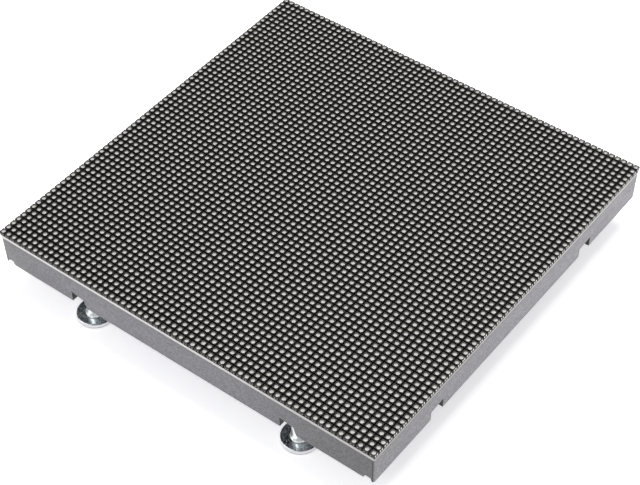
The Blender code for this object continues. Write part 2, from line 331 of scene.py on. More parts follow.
BODY = 1.03  # half the side of a package at its parting line
SHOULDER = 1.0
TOP = 0.975  # half the side of its flat top
UNDER = 0.92  # half the side of its underside
PART_LINE = 24.93
LEAD_LOW, LEAD_HIGH = 24.6, 25.5
BODY_LOW = BOARD_TOP + 0.05
WELL = 0.78  # radius of the light well at its mouth
FLOOR = 0.68
DEEP = 0.26
MAP_SCALE = 0.7  # share of the bake map's side that one package takes


def on_map(u, v):
    return (0.01 + MAP_SCALE * u, 0.01 + MAP_SCALE * v)


def flat_map(x, y):
    return on_map(0.25 + x, 0.25 + y)


def led(ties):
    """One package: black body, round light well and four leads. With ties, the cut ends of its lead frame show on the near and far sides."""
    s = Shape()
    corner = [(1, 1), (-1, 1), (-1, -1), (1, -1)]

    def square(half, z):
        return [s.point(half * x, half * y, z) for x, y in corner]

    low, line, wide, top = square(UNDER, BODY_LOW), square(BODY, PART_LINE), square(SHOULDER, FACE_Z - 0.07), square(TOP, FACE_Z)
    turn = [(math.cos(math.pi * k / 8), math.sin(math.pi * k / 8)) for k in range(16)]
    mouth = [s.point(WELL * c, WELL * d, FACE_Z) for c, d in turn]
    deep = [s.point(FLOOR * c, FLOOR * d, FACE_Z - DEEP) for c, d in turn]
    centre = s.point(0, 0, FACE_Z - DEEP - 0.06)
    for i in range(4):
        j = (i + 1) % 4
        (a, b), (c, d) = corner[i], corner[j]
        k = [(2 + 4 * i + n) % 16 for n in range(5)]
        arc = [flat_map(0.183 * turn[n][0], 0.183 * turn[n][1]) for n in k]
        ends = flat_map(0.205 * a, 0.205 * b), flat_map(0.205 * c, 0.205 * d)
        for one, two in ((2, 1), (1, 0)):
            s.face((top[i], mouth[k[one]], mouth[k[two]]), 0, [ends[0], arc[one], arc[two]])
        s.face((top[i], top[j], mouth[k[2]]), 0, [ends[0], ends[1], arc[2]])
        for one, two in ((4, 3), (3, 2)):
            s.face((top[j], mouth[k[one]], mouth[k[two]]), 0, [ends[1], arc[one], arc[two]])
        out = flat_map(0.24 * a, 0.24 * b), flat_map(0.24 * c, 0.24 * d)
        s.face((wide[i], wide[j], top[j], top[i]), 0, [out[0], out[1], ends[1], ends[0]])
        v = 0.52 + 0.11 * i
        s.face((line[i], line[j], wide[j], wide[i]), 0, [on_map(0.02, v + 0.05), on_map(0.62, v + 0.05), on_map(0.62, v + 0.1), on_map(0.02, v + 0.1)])
        s.face((low[i], low[j], line[j], line[i]), 5, [on_map(0.02, v), on_map(0.62, v), on_map(0.62, v + 0.05), on_map(0.02, v + 0.05)])
    s.face(low[::-1], 5, [on_map(0.7, 0.02), on_map(0.95, 0.02), on_map(0.95, 0.27), on_map(0.7, 0.27)])
    for k in range(16):
        j = (k + 1) % 16

        def ring(r, n):
            return flat_map(r * turn[n][0], r * turn[n][1])

        s.face((mouth[k], mouth[j], deep[j], deep[k]), 1, [ring(0.183, k), ring(0.183, j), ring(0.150, j), ring(0.150, k)], True)
        s.face((deep[k], deep[j], centre), 1, [ring(0.150, k), ring(0.150, j), flat_map(0, 0)])
    for x in (-1, 1):
        for y in (-0.48, 0.48):
            a, b = sorted((x * 0.9, x * 1.05))
            s.box((a, y - 0.2, LEAD_LOW), (b, y + 0.2, LEAD_HIGH), 2, (*on_map(0.7, 0.35), *on_map(0.95, 0.6)))
            s.slots[-6:] = [2 if x > 0 else 7] * 6
    if ties:
        for y in (-1, 1):
            for x in (-0.5, 0.5):
                a, b = sorted((y * 0.9, y * 1.045))
                s.box((x - 0.13, a, PART_LINE - 0.02), (x + 0.13, b, PART_LINE + 0.1), 6, (*on_map(0.7, 0.35), *on_map(0.95, 0.6)))
    return s


led_black = plastic("led_black", (0.0092, 0.0088, 0.0078), 0.45, mottle=0.3, grain=0.12, depth=0.006, spread=0.07, patch=1.1)
led_black.set("Specular IOR Level", 0.32)
# A darker, duller copy of the black plastic for the lower sides and underside of each package: painted shade
led_black_shaded = plastic("led_black_shaded", (0.006, 0.006, 0.006), 0.6, mottle=0.3, grain=0.12, depth=0.006, spread=0.07, patch=1.1)
led_black_shaded.set("Specular IOR Level", 0.2)


def cup_paint(name, tone, wall):
    """Milky resin at the floor of a grey well, with the three dice faint under it and painted light and shade across
    the floor.
    """
    p = Paint(name, tone, 0.36)
    u, v, _ = p.parts(p.uv(BAKE_MAP))
    middle = 0.01 + MAP_SCALE * 0.25
    x = p.maths("DIVIDE", p.maths("SUBTRACT", u, middle), MAP_SCALE)
    y = p.maths("DIVIDE", p.maths("SUBTRACT", v, middle), MAP_SCALE)
    away = p.maths("SQRT", p.maths("ADD", p.maths("MULTIPLY", x, x), p.maths("MULTIPLY", y, y)))
    # Dice: three small squares in a row
    third = p.maths("PINGPONG", p.maths("ABSOLUTE", y), 0.0425)
    die = p.maths(
        "MULTIPLY",
        p.ramp(p.maths("ABSOLUTE", x), 0.016, 0.022, 1.0, 0.0),
        p.maths("MULTIPLY", p.ramp(third, 0.014, 0.020, 1.0, 0.0), p.ramp(p.maths("ABSOLUTE", y), 0.10, 0.105, 1.0, 0.0)),
    )
    # Painted light and shade: the floor is painted brighter, up to 1.6 times its tone, towards the near right and
    # darker, down to a third, towards the far left, and a little darker again towards +X +Y
    across = p.ramp(p.maths("ADD", x, y), -0.25, 0.25, smooth=False)
    near = p.mix(across, tuple(c * 1.60 for c in tone), tuple(c * 1.33 for c in tone))
    far = p.mix(across, tuple(c * 0.44 for c in tone), tuple(c * 0.35 for c in tone))
    painted_shading = p.mix(p.ramp(p.maths("SUBTRACT", y, x), -0.212, 0.212, smooth=False), near, far)
    body = p.mix(p.maths("MULTIPLY", die, 0.3), painted_shading, tuple(c * 0.39 for c in tone))
    rim = tuple(c * 0.3 for c in wall)
    side = p.mix(p.ramp(away, 0.152, 0.180), wall, rim)
    p.link(p.mix(p.ramp(away, 0.146, 0.154), body, side), "Base Color")
    grain = p.noise(0.15, 2)
    p.link(p.ramp(grain, 0.3, 0.7, 0.30, 0.44), "Roughness")
    p.bump(grain, 0.004)
    return p


cups = [
    cup_paint("led_cup_a", (0.537, 0.532, 0.516), (0.138, 0.137, 0.133)),
    cup_paint("led_cup_b", (0.515, 0.515, 0.496), (0.130, 0.130, 0.125)),
    cup_paint("led_cup_c", (0.560, 0.551, 0.538), (0.146, 0.144, 0.141)),
]


def lead_paint(name, low, high):
    """Tinned copper with painted shade: darker towards the bottom, brighter above."""
    p = Paint(name, high, 0.4, 0.8)
    height = p.parts(p.place())[2]
    p.link(p.mix(p.ramp(height, LEAD_LOW + 0.1, LEAD_LOW + 0.5), low, high), "Base Color")
    p.link(p.ramp(p.noise(0.2, 3), 0.3, 0.7, 0.32, 0.50), "Roughness")
    return p


# Two copies of the lead paint: one painted dark as shade for the leads in the gaps, one lit for the leads at the
# panel's edge
led_lead_shaded = lead_paint("led_lead_shaded", (0.050, 0.048, 0.042), (0.125, 0.121, 0.110))
lit_edge_lead = lead_paint("led_lead_edge_lit", (0.32, 0.31, 0.27), (0.86, 0.85, 0.81))

shuffle = np.random.default_rng(7)
middles = (np.arange(COUNT) + 0.5) * PITCH - COUNT * PITCH / 2
plain, tied = led(False), led(True)
tones = shuffle.integers(0, 3, (COUNT, COUNT))
for band in range(4):
    sets = []
    rows = range(16 * band, 16 * band + 16)
    for shape, some in ((plain, [r for r in rows if r not in (0, 63)]), (tied, [r for r in rows if r in (0, 63)])):
        if some:
            places = [(middles[c], middles[r], 0.0) for r in some for c in range(COUNT)]
            outer = {0: {7: 6}, COUNT - 1: {2: 6, 7: 2}}  # leads at the panel's own edge take the lit copy of the lead paint, the others the copy painted dark as shade
            swaps = [{1: (1, 3, 4)[tones[r, c]], **outer.get(c, {7: 2})} for r in some for c in range(COUNT)]
            sets.append((shape, places, swaps))
    shown(
        f"led_rows_{band + 1}",
        tiled(f"led_rows_{band + 1}", sets),
        [led_black, cups[0], led_lead_shaded, cups[1], cups[2], led_black_shaded, lit_edge_lead],
        replaces=["led_field"],
    )

# ------------------------------------------------------------------- board

EDGE = 79.6
board_paint = Paint("board_look", (0.72, 0.71, 0.68), 0.5)
p = board_paint
nx, ny, nz = p.parts(p.node("ShaderNodeTexCoord").outputs["Normal"])
x, y, z = p.parts(p.place())
face = p.ramp(p.maths("ABSOLUTE", nz), 0.5, 0.6)
layers = p.noise(0.5, 2, (0.15, 0.15, 6))
cloud = p.noise(3.0, 3)
edge = p.mix(p.ramp(layers, 0.3, 0.7), (0.50, 0.497, 0.48), (0.60, 0.597, 0.575))
# Painted shade on the ±Y edges: darker towards +X, and darker along the bottom strip next to the frame
edge = p.mix(p.ramp(x, 0.0, 79.0, 0.0, 0.5), edge, (0.30, 0.29, 0.265))
edge = p.mix(p.ramp(z, BOARD_BOTTOM + 0.12, BOARD_BOTTOM + 0.26), (0.36, 0.355, 0.345), edge)
# Painted light and shade on the ±X edges: lighter towards +Y, and painted dark above 23.5 mm and below 22.9 mm as shade
# under the LEDs and by the frame, leaving a thin light band
side_edge = p.mix(p.ramp(y, -79.0, 79.0), (0.32, 0.32, 0.31), (0.60, 0.60, 0.585))
side_edge = p.mix(p.ramp(layers, 0.3, 0.7, 0.0, 0.2), side_edge, (0.80, 0.80, 0.78))
side_edge = p.mix(p.ramp(z, 22.86, 22.98), (0.26, 0.26, 0.26), side_edge)
side_edge = p.mix(p.ramp(z, 23.46, 23.56), side_edge, (0.085, 0.085, 0.075))
edge = p.mix(p.ramp(p.maths("ABSOLUTE", nx), 0.5, 0.6), edge, side_edge)
mask = p.mix(p.ramp(cloud, 0.3, 0.7), (0.008, 0.010, 0.009), (0.016, 0.018, 0.017))
p.link(p.mix(face, edge, mask), "Base Color")
p.link(p.ramp(p.noise(1.2, 3), 0.3, 0.7, 0.30, 0.46), "Roughness")
p.bump(p.noise(0.4, 2), 0.006)

track_paint = Paint("board_track", (0.040, 0.046, 0.041), 0.35)
p = track_paint
p.link(p.mix(p.ramp(p.noise(2.0, 3), 0.3, 0.7), (0.034, 0.040, 0.035), (0.050, 0.056, 0.050)), "Base Color")
p.link(p.ramp(p.noise(0.8, 3), 0.3, 0.7, 0.26, 0.42), "Roughness")
tin = metal("board_tin", (0.62, 0.62, 0.60), 0.34, size=0.3, spread=0.12)
ink = plastic("board_ink", (0.62, 0.62, 0.60), 0.6, mottle=0.06, grain=0.2, depth=0.004, spread=0.05, patch=3.0)

columns = sorted([s * c for s in (-1, 1) for c in (36.5, 46.0, 55.5, 65.0)] + [-16.5, -5.5, 5.5, 16.5])
DRIVERS = [(c, r) for r in (-54.0, 54.0) for c in columns]
BUFFERS = [(-42.0, -9.0), (-42.0, 9.0)]
HEADERS = [-57.0, 57.0]
CANS = [(-15.0, -15.0), (15.0, -15.0)]

b = Shape()
rear = BOARD_BOTTOM + 0.02  # the mask; tracks and pads stand 0.02 out of it


def slab(half, z):
    cut = 0.25
    h, g = half, half - cut
    outline = [(-g, -h), (g, -h), (h, -g), (h, g), (g, h), (-g, h), (-h, g), (-h, -g)]
    return [b.point(x, y, z) for x, y in outline]


levels = [slab(EDGE - 0.06, rear), slab(EDGE, rear + 0.06), slab(EDGE, BOARD_TOP - 0.05), slab(EDGE - 0.05, BOARD_TOP)]
b.face(levels[0][::-1], 0)
b.face(levels[-1], 0)
for low, high in zip(levels, levels[1:]):
    for k in range(8):
        j = (k + 1) % 8
        b.face((low[k], low[j], high[j], high[k]), 0)


def strip(x0, y0, x1, y1, width, slot, out=0.012):
    """A straight raised strip on the board's back."""
    dx, dy = x1 - x0, y1 - y0
    long = math.hypot(dx, dy)
    if long < 1e-6:
        return
    nx, ny = -dy / long * width / 2, dx / long * width / 2
    low, high = rear - out, rear + 0.03
    ids = [b.point(x + s * nx, y + s * ny, z) for z in (low, high) for x, y, s in ((x0, y0, -1), (x1, y1, -1), (x1, y1, 1), (x0, y0, 1))]
    for corners in ((3, 2, 1, 0), (0, 1, 5, 4), (1, 2, 6, 5), (2, 3, 7, 6), (3, 0, 4, 7), (4, 5, 6, 7)):
        b.face([ids[c] for c in corners], slot)


def path(points, width=0.22, slot=1):
    for (x0, y0), (x1, y1) in zip(points, points[1:]):
        strip(x0, y0, x1, y1, width, slot)


def dot(x, y, r, slot, sides=6, out=0.016):
    ids = [b.point(x + r * math.cos(2 * math.pi * k / sides), y + r * math.sin(2 * math.pi * k / sides), z) for z in (rear - out, rear + 0.03) for k in range(sides)]
    b.face(ids[:sides][::-1], slot)
    b.face(ids[sides:], slot)
    for k in range(sides):
        j = (k + 1) % sides
        b.face((ids[k], ids[j], ids[sides + j], ids[sides + k]), slot)


def frame_of(x, y, half_x, half_y, width=0.15):
    for x0, y0, x1, y1 in ((-1, -1, 1, -1), (1, -1, 1, 1), (1, 1, -1, 1), (-1, 1, -1, -1)):
        strip(x + x0 * half_x, y + y0 * half_y, x + x1 * half_x, y + y1 * half_y, width, 3)


for x, y in DRIVERS:
    for side in (-1, 1):
        for k in range(12):
            at = y + (k - 5.5) * 0.635
            strip(x + side * 2.45, at, x + side * 3.25, at, 0.34, 2, 0.018)
            reach = 3.55 + 0.38 * (k % 3)
            strip(x + side * 3.25, at, x + side * reach, at, 0.16, 1)
            dot(x + side * reach, at, 0.2, 1)
    toward = -1 if y > 0 else 1
    for k in range(6):
        path([(x + (k - 2.5) * 0.5, y + toward * 4.7), (x + (k - 2.5) * 0.5, y + toward * (7.6 + 0.55 * k))], 0.16)
        dot(x + (k - 2.5) * 0.5, y + toward * (7.6 + 0.55 * k), 0.2, 1)
    frame_of(x, y, 1.75, 4.65)
    dot(x - 2.6, y - 4.5, 0.22, 3, 8)
for x, y in BUFFERS:
    for side in (-1, 1):
        for k in range(10):
            at = y + (k - 4.5) * 1.27
            strip(x + side * 4.4, at, x + side * 5.7, at, 0.6, 2, 0.018)
            if side < 0:
                strip(x - 5.7, at, -51.9, at, 0.2, 1)
            elif 0 < k < 9:
                bend = x + 6.6 + 0.55 * (k if y > 0 else 9 - k)
                goal = math.copysign(42.2 + 0.55 * (9 - k if y > 0 else k), y)
                path([(x + 5.7, at), (bend, at), (bend, goal)], 0.2)
                dot(bend, goal, 0.26, 1)
    frame_of(x, y, 3.5, 6.9)
    dot(x - 4.6, y - 6.9, 0.25, 3, 8)
for y in (-1, 1):
    for k in range(9):
        strip(-68.0, y * (41.7 + 0.55 * k), 68.0, y * (41.7 + 0.55 * k), 0.2, 1)
for x in HEADERS:
    frame_of(x, 0.0, 4.75, 14.45, 0.18)
    for k in range(8):
        for side in (-1, 1):
            dot(x + side * 1.27, (k - 3.5) * 2.54, 0.8, 2, 12)
for k in range(7):
    path([(52.0, -9.0 + 2.54 * k), (46.0 + 0.6 * k, -9.0 + 2.54 * k), (46.0 + 0.6 * k, math.copysign(41.0, k - 3))], 0.2)
    dot(46.0 + 0.6 * k, math.copysign(41.0, k - 3), 0.26, 1)
frame_of(0.0, 0.0, 8.25, 4.45, 0.18)
for x, y in CANS:
    frame_of(x, y, 4.55, 4.55)
    strip(x - 5.0, y - 1.1, x - 5.0, y + 1.1, 0.9, 2, 0.018)
    strip(x + 5.0, y - 1.1, x + 5.0, y + 1.1, 0.9, 2, 0.018)
    strip(x, y + 4.8, x * 0.4, -4.6, 2.4, 1)
for i in range(31):
    for j in range(31):
        x, y = (i - 15) * 5.0, (j - 15) * 5.0
        dot(x + 0.9 * math.cos(1.7 * i + j), y + 0.9 * math.sin(2.3 * j), 0.24, 1)
shown("board_back_look", b.mesh("board_back_look", tidy=False), [board_paint, track_paint, tin, ink], replaces=["board"])

# ------------------------------------------------------------------- frame

frame_paint = Paint("frame_look", (0.198, 0.195, 0.211), 0.48)
p = frame_paint
px, py, pz = p.parts(p.place())
nx, ny, nz = (p.maths("ABSOLUTE", n) for n in p.parts(p.node("ShaderNodeTexCoord").outputs["Normal"]))
ax, ay = p.maths("ABSOLUTE", px), p.maths("ABSOLUTE", py)
cloud, speck, grit = p.noise(7.0, 3), p.noise(0.55, 1), p.noise(0.3, 2)
both = p.maths("ADD", p.maths("MULTIPLY", cloud, 0.14), p.maths("MULTIPLY", speck, 0.86))
skin = p.mix(p.ramp(both, 0.41, 0.59, smooth=False), (0.148, 0.144, 0.158), (0.250, 0.245, 0.266))
# Painted light and shade along the walls: the ±Y walls are painted darker overall, most of all towards +X and towards
# their -X ends, and the ±X walls lighter towards +Y
across = p.ramp(nx, 0.5, 0.6, 0.0, 1.0)
along = p.maths("MULTIPLY", p.ramp(px, -79.0, -35.0, 0.61, 0.74), p.ramp(px, 15.0, 79.0, 1.0, 0.60))
painted_shade = p.maths("ADD", p.maths("MULTIPLY", across, p.ramp(py, -79.0, 79.0, 0.93, 1.09)), p.maths("MULTIPLY", p.maths("SUBTRACT", 1.0, across), along))
skin = p.node("ShaderNodeVectorMath", {0: skin, "Scale": painted_shade}, operation="SCALE").outputs[0]
inner = p.mix(p.ramp(both, 0.36, 0.64), (0.118, 0.116, 0.125), (0.155, 0.153, 0.163))
outer = p.ramp(p.maths("MAXIMUM", ax, ay), 78.95, 79.1)
tone = p.mix(outer, inner, skin)
# Painted shade: the upright ends of the notches and the ±Y half of the facet down each corner are painted near black
ends_y = p.maths("MULTIPLY", p.ramp(nx, 0.5, 0.6), p.maths("MULTIPLY", p.ramp(ay, 76.4, 76.5), p.ramp(ax, 78.2, 78.3, 1.0, 0.0)))
ends_x = p.maths("MULTIPLY", p.ramp(ny, 0.5, 0.6), p.maths("MULTIPLY", p.ramp(ax, 76.4, 76.5), p.ramp(ay, 78.2, 78.3, 1.0, 0.0)))
facet = p.maths("ADD", p.maths("ADD", ax, ay), p.maths("MULTIPLY", p.maths("SUBTRACT", 22.65, pz), 0.0437))
corner_facet_shade = p.maths("MULTIPLY", p.ramp(facet, 158.40, 158.52), p.ramp(p.maths("SUBTRACT", ay, ax), 0.10, 0.22))
painted_dark = p.maths("MAXIMUM", corner_facet_shade, p.maths("MAXIMUM", ends_x, ends_y))
p.link(p.mix(painted_dark, tone, (0.022, 0.022, 0.024)), "Base Color")
p.link(p.ramp(p.maths("ADD", grit, p.maths("MULTIPLY", cloud, 0.5)), 0.4, 1.1, 0.42, 0.55), "Roughness")
p.bump(p.maths("ADD", grit, speck), 0.020)


def softened(node, name, width, paints, angle=40, choose=None):
    """The CAD node's own shape with its edges rounded off. choose gives a face's paint by its middle in millimetres."""
    mesh = nodes[node].data.copy()
    mesh.name = name
    mesh.materials.clear()
    work = bmesh.new()
    work.from_mesh(mesh)
    bmesh.ops.remove_doubles(work, verts=work.verts, dist=2e-6)
    bmesh.ops.dissolve_limit(work, angle_limit=math.radians(0.6), verts=work.verts, edges=work.edges)
    for f in work.faces:
        f.material_index = choose(*(c / MM for c in f.calc_center_median())) if choose else 0
    work.to_mesh(mesh)
    work.free()
    made = shown(name, mesh, paints, 30, [node])
    bevel = made.modifiers.new("edges", "BEVEL")
    bevel.width = width * MM
    bevel.segments = 2
    bevel.limit_method = "ANGLE"
    bevel.angle_limit = math.radians(angle)
    bevel.harden_normals = False
    bevel.use_clamp_overlap = True
    return made


softened("back_frame", "back_frame_look", 0.28, [frame_paint])

# ------------------------------------------------------- parts on the back


def cut(target, tool):
    """Takes one shape's mesh away from another's."""
    ones = []
    for shape in (target, tool):
        ones.append(bpy.data.objects.new("cut", shape.mesh("cut")))
        bpy.context.scene.collection.objects.link(ones[-1])
    change = ones[0].modifiers.new("cut", "BOOLEAN")
    change.operation, change.solver, change.object = "DIFFERENCE", "EXACT", ones[1]
    bpy.context.view_layer.update()
    made = bpy.data.meshes.new_from_object(ones[0].evaluated_get(bpy.context.evaluated_depsgraph_get()))
    for one in ones:
        old = one.data
        bpy.data.objects.remove(one, do_unlink=True)
        bpy.data.meshes.remove(old)
    made.materials.clear()
    return made


chip_black = plastic("chip_black_look", (0.018, 0.018, 0.019), 0.55, mottle=0.25, grain=0.18, depth=0.010, spread=0.08, patch=2.0)
leg_tin = metal("chip_leg", (0.66, 0.66, 0.65), 0.30, size=0.25, spread=0.12, tint=0.06)


def chip(name, x, y, long, body, leads, tall, count, pitch, wide):
    """A moulded body with a pin-one dimple and two rows of gull-wing legs."""
    s = Shape()
    half, line = long / 2 - 0.02, SEAT - tall * 0.5
    rings = []
    for w, l, z in ((-0.13, -0.13, SEAT - 0.12), (0.0, 0.0, line + 0.08), (0.0, 0.0, line - 0.08), (-0.16, -0.16, SEAT - tall + 0.0)):
        h, k = body / 2 + w, half + l
        rings.append([s.point(x + h * a, y + k * c, z) for a, c in ((1, 1), (-1, 1), (-1, -1), (1, -1))])
    s.face(rings[0], 0)
    for low, high in zip(rings, rings[1:]):
        for i in range(4):
            j = (i + 1) % 4
            s.face((low[i], low[j], high[j], high[i]), 0)
    # The back face, with a round dimple near pin one
    z = SEAT - tall
    r = min(0.42, body * 0.1)
    at = (x - body / 2 + 0.95, y - half + 1.1)
    turn = [(math.cos(math.pi * k / 8), math.sin(math.pi * k / 8)) for k in range(16)]
    lip = [s.point(at[0] + r * c, at[1] + r * d, z) for c, d in turn]
    pit = [s.point(at[0] + 0.85 * r * c, at[1] + 0.85 * r * d, z + 0.07) for c, d in turn]
    back = rings[-1]
    for i in range(4):
        j = (i + 1) % 4
        k = [(2 + 4 * i + n) % 16 for n in range(5)]
        s.face((back[i], lip[k[2]], lip[k[1]]), 0)
        s.face((back[i], lip[k[1]], lip[k[0]]), 0)
        s.face((back[i], back[j], lip[k[2]]), 0)
        s.face((back[j], lip[k[4]], lip[k[3]]), 0)
        s.face((back[j], lip[k[3]], lip[k[2]]), 0)
    for k in range(16):
        j = (k + 1) % 16
        s.face((lip[k], lip[j], pit[j], pit[k]), 0)
    s.face(pit, 0)
    thick = 0.15
    out, knee = leads / 2, body / 2 + 0.28
    for side in (-1, 1):
        outline = [
            (body / 2 - 0.15, line + thick / 2),
            (knee - 0.02, line + thick / 2),
            (knee + 0.12, SEAT - thick),
            (knee + 0.12, SEAT - 0.01),
            (out, SEAT - 0.01),
            (out, SEAT - thick),
            (knee + 0.12 + thick, SEAT - thick - 0.05),
            (knee + 0.1, line - thick / 2),
            (body / 2 - 0.15, line - thick / 2),
        ]
        outline[2] = (knee + 0.06, SEAT - thick - 0.02)
        for k in range(count):
            along = y + (k - (count - 1) / 2) * pitch
            s.prism([(x + side * a, h) for a, h in outline], along - wide / 2, along + wide / 2, axis=1, slot=1)
    return shown(f"{name}_look", s.mesh(f"{name}_look"), [chip_black, leg_tin], None, [name])


for number, (x, y) in enumerate(DRIVERS, 1):
    chip(f"driver_{number:02d}", x, y, 8.65, 3.9, 6.0, 1.6, 12, 0.635, 0.25)
for number, (x, y) in enumerate(BUFFERS, 1):
    chip(f"buffer_{number}", x, y, 12.8, 7.5, 10.3, 2.4, 10, 1.27, 0.42)

header_black = plastic("header_black_look", (0.016, 0.016, 0.017), 0.45, mottle=0.2, grain=0.3, depth=0.010, spread=0.08, patch=4.0)
gold = metal("header_gold", (0.80, 0.58, 0.24), 0.22, size=0.3, spread=0.08, tint=0.05)
for name, middle in (("header_in", -57.0), ("header_out", 57.0)):

    def pin_or_shell(x, y, z, middle=middle):
        near_pin = min(abs(abs(x - middle) - 1.27 + t) for t in (0,)) <= 0.33
        row = (y / 2.54 + 3.5) % 1
        on_row = min(row, 1 - row) * 2.54 <= 0.33 and abs(y) < 9.3
        return 1 if near_pin and on_row and 15.5 < z < 20.2 else 0

    softened(name, f"{name}_look", 0.16, [header_black, gold], choose=pin_or_shell)

header_white = plastic("header_white_look", (0.72, 0.71, 0.66), 0.42, mottle=0.05, grain=0.4, depth=0.008, spread=0.08, patch=3.0)
softened(
    "power_header",
    "power_header_look",
    0.16,
    [header_white, tin],
    choose=lambda x, y, z: 1 if abs(y) < 0.6 and z < 19.4 else 0,
)

for number, (x, y) in enumerate(CANS, 1):
    can = Paint(f"can_{number}", (0.70, 0.70, 0.71), 0.3, 1.0)
    p = can
    px, py, pz = p.parts(p.place())
    crown = p.ramp(pz, 13.15, 13.3, 1.0, 0.0)
    mark = p.ramp(p.maths("SUBTRACT", px, x), -1.9, -1.85, 1.0, 0.0)
    wipe = p.noise(0.6, 4, (1, 1, 0.12), 0.7)
    silver = p.mix(p.ramp(wipe, 0.3, 0.7), (0.62, 0.62, 0.63), (0.76, 0.76, 0.77))
    marked = p.maths("MULTIPLY", crown, mark)
    p.link(p.mix(marked, silver, (0.02, 0.02, 0.022)), "Base Color")
    p.link(p.ramp(marked, 0.0, 1.0, 1.0, 0.0), "Metallic")
    p.link(p.ramp(wipe, 0.3, 0.7, 0.22, 0.38), "Roughness")
    s = Shape()
    base = SEAT - 1.3
    c, h = 1.2, 4.25
    outline = [(-h, -h), (h - c, -h), (h, -h + c), (h, h - c), (h - c, h), (-h, h)]
    s.prism([(x + a, y + d) for a, d in outline], base, SEAT, slot=1)
    profile = [(0, 12.92), (2.9, 12.92), (3.05, 12.8), (3.35, 12.75), (3.7, 12.83), (3.93, 13.03), (4.0, 13.3), (4.0, 19.9), (3.92, 20.1), (3.76, 20.28), (3.76, 20.5), (3.92, 20.68), (4.0, 20.85), (4.0, base + 0.05), (0, base + 0.05)]
    s.lathe(profile, (x, y), 56, slot=0, closed=False)
    for turned in range(3):
        angle = math.pi / 2 + turned * 2 * math.pi / 3
        dx, dy = math.cos(angle), math.sin(angle)
        wx, wy = -dy * 0.09, dx * 0.09
        ids = [s.point(x + r * dx + k * wx, y + r * dy + k * wy, z) for z in (12.90, 12.96) for r, k in ((0.0, -1), (2.6, -1), (2.6, 1), (0.0, 1))]
        for corners in ((3, 2, 1, 0), (0, 1, 5, 4), (1, 2, 6, 5), (2, 3, 7, 6), (3, 0, 4, 7), (4, 5, 6, 7)):
            s.face([ids[i] for i in corners], 2)
    for side in (-1, 1):
        lead = [(x + side * 4.25, y - 0.35), (x + side * 2.9, y - 0.35), (x + side * 2.9, y + 0.35), (x + side * 4.25, y + 0.35)]
        s.prism(lead, SEAT - 0.12, SEAT - 0.0, slot=3)
    shown(f"capacitor_{number}_look", s.mesh(f"capacitor_{number}_look"), [can, header_black, chip_black, tin], 35, [f"capacitor_{number}"])

# ------------------------------------------------------- screws and inserts

screw_paint = metal("screw_look", (0.55, 0.56, 0.58), 0.28, size=0.4, spread=0.12)
for number, at in enumerate(SCREWS, 1):
    seat = 15.15
    s = Shape()
    dome = [(0, 13.4)] + [(2.3 * math.sin(a), 13.4 + 1.05 * (1 - math.cos(a))) for a in np.linspace(0.2, 1.35, 7)]
    dome += [(2.3, seat - 0.55), (2.3, seat - 0.08), (2.22, seat), (1.15, seat)]
    z = seat + 0.4
    while z < 21.4:
        dome += [(1.0, z), (1.15, z + 0.25), (1.0, z + 0.5)]
        z += 0.85
    dome += [(0.95, 21.7), (0.1, 22.5), (0, 22.55)]
    s.lathe(dome, at, 36, closed=False)
    t = Shape()
    for turned in (0, 1):
        for w0, w1, l0, l1 in ((0.24, 0.36, 0.75, 1.3),):
            ids = []
            for z, w, l in ((13.0, w1, l1), (14.35, w0 * 0.8, l0 * 0.75)):
                for a, c in ((-1, -1), (1, -1), (1, 1), (-1, 1)):
                    px, py = a * w, c * l
                    if turned:
                        px, py = -py, px
                    ids.append(t.point(at[0] + px, at[1] + py, z + 0.001 * turned))
            for corners in ((3, 2, 1, 0), (0, 1, 5, 4), (1, 2, 6, 5), (2, 3, 7, 6), (3, 0, 4, 7), (4, 5, 6, 7)):
                t.face([ids[i] for i in corners], 0)
        if turned == 0:
            first, t = t, Shape()
    made = cut(s, first)
    again = Shape()
    again.points = [tuple(c / MM for c in v.co) for v in made.vertices]
    for f in made.polygons:
        again.face(tuple(f.vertices), 0)
    bpy.data.meshes.remove(made)
    made = cut(again, t)
    made.name = f"screw_{number}_look"
    shown(f"screw_{number}_look", made, [screw_paint], 35, [f"screw_{number}"])

brass = metal("brass_look", (0.72, 0.53, 0.24), 0.26, size=0.5, spread=0.10, tint=0.06)
for number, at in enumerate(BOSSES + SIDE_BOSSES, 1):
    s = Shape()
    steps, low, high = 36, 11.3, 17.2

    def ring(radius, z):
        return [s.point(at[0] + radius(k) * math.cos(2 * math.pi * k / steps), at[1] + radius(k) * math.sin(2 * math.pi * k / steps), z) for k in range(steps)]

    def knurl(k):
        return 2.2 if k % 2 else 2.06

    rings = [ring(lambda k: 1.78, low), ring(lambda k: 1.98, low), ring(knurl, low + 0.12), ring(knurl, low + 2.4), ring(lambda k: 1.95, low + 2.6), ring(lambda k: 1.95, low + 3.2), ring(knurl, low + 3.4), ring(knurl, high - 0.1), ring(lambda k: 2.0, high), ring(lambda k: 1.75, high)]
    z = high - 0.15
    while z > low + 0.2:
        rings.append(ring(lambda k, z=z: 1.6 - 0.09 * abs(((z / 0.5 - k / steps) % 1) * 2 - 1), z))
        z -= 0.125
    for one, two in zip(rings, rings[1:] + rings[:1]):
        for k in range(steps):
            j = (k + 1) % steps
            s.face((one[k], one[j], two[j], two[k]), 0)
    shown(f"insert_{number}_look", s.mesh(f"insert_{number}_look"), [brass], 40, [f"insert_{number}"])

# -------------------------------------------------------------------- feet

plate = Paint("foot_plate", (0.80, 0.84, 0.88), 0.05, 1.0)
p = plate
height = p.parts(p.place())[2]
flat = p.ramp(p.parts(p.node("ShaderNodeTexCoord").outputs["Normal"])[2], 0.6, 0.9)
haze, pits = p.noise(2.5, 3), p.noise(0.45, 1)
